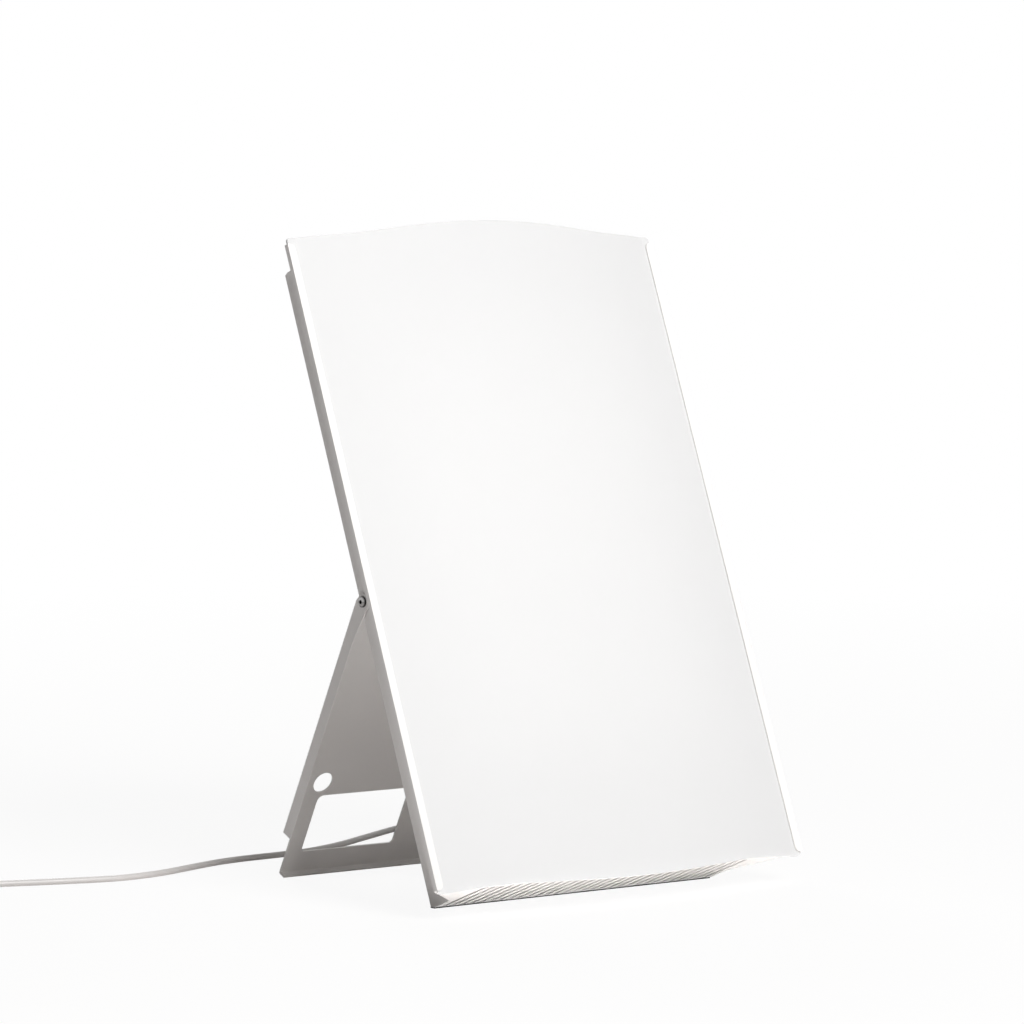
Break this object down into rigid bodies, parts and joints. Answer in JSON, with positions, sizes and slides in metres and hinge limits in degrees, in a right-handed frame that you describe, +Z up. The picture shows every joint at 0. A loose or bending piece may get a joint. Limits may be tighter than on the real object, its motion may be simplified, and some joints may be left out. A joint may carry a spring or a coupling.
{
  "type": "light therapy lamp",
  "caption": "Slim white light panel with a bowed opal front, vented end plates and a folding rear stand that holds it leaning back.",
  "frame": {"origin": "centre of the footprint of lamp and stand, on the table that they stand on", "axes": "+Z up, the light shines towards -Y, the stand folds out towards +Y, +X to the right seen from the front"},
  "size_m": [0.6996, 0.4992, 0.5578],
  "materials": {
    "white_paint": "satin powder coat",
    "stand_paint": "satin powder coat",
    "zinc_steel": "bright zinc plate",
    "screw_steel": "nickel plate",
    "black_rubber": "matte",
    "opal_sheet": "satin opal acrylic",
    "reflector_sheet": "gloss white",
    "tube_glass": "white coated glass",
    "cap_plastic": "matte",
    "holder_plastic": "matte",
    "ballast_case": "gloss white",
    "black_plastic": "fine texture",
    "rocker_plastic": "satin",
    "cord_plastic": "satin",
    "cord_jacket": "satin",
    "pin_steel": "nickel plate"
  },
  "bodies": {
    "lamp": {"housing_shell": "white_paint", "top_end_plate": "white_paint", "bottom_end_plate": "white_paint", "end_plate_screws": "zinc_steel", "foot_strip": "black_rubber", "diffuser": "opal_sheet", "reflector": "reflector_sheet", "tube_glass": "tube_glass", "tube_caps": "cap_plastic", "lamp_holders": "holder_plastic", "tube_clips": "zinc_steel", "ballasts": "ballast_case", "ballast_screws": "zinc_steel", "terminal_block": "holder_plastic", "inlet_lead": "cord_jacket", "switch_body": "black_plastic", "pivot_screws": "screw_steel", "pivot_nuts": "zinc_steel", "cable_gland": "cord_plastic", "gland_nut": "cord_plastic", "cord_boot": "cord_plastic", "cord": "cord_jacket", "cord_coil": "cord_jacket", "cord_tail": "cord_jacket", "plug_body": "cord_plastic", "plug_pins": "pin_steel"},
    "folding_stand": {"stand": "stand_paint"},
    "rocker": {"switch_rocker": "rocker_plastic"}
  },
  "joints": [
    {"name": "stand_hinge", "type": "hinge", "parent": "lamp", "child": "folding_stand", "pos_m": [0, 0.02618, 0.24389], "axis": [-1, 0, 0], "range_deg": [0, 47.7]},
    {"name": "switch_hinge", "type": "hinge", "parent": "lamp", "child": "rocker", "pos_m": [0.104, 0.09173, 0.38968], "axis": [-1, 0, 0], "range_deg": [0, 18]}
  ]
}
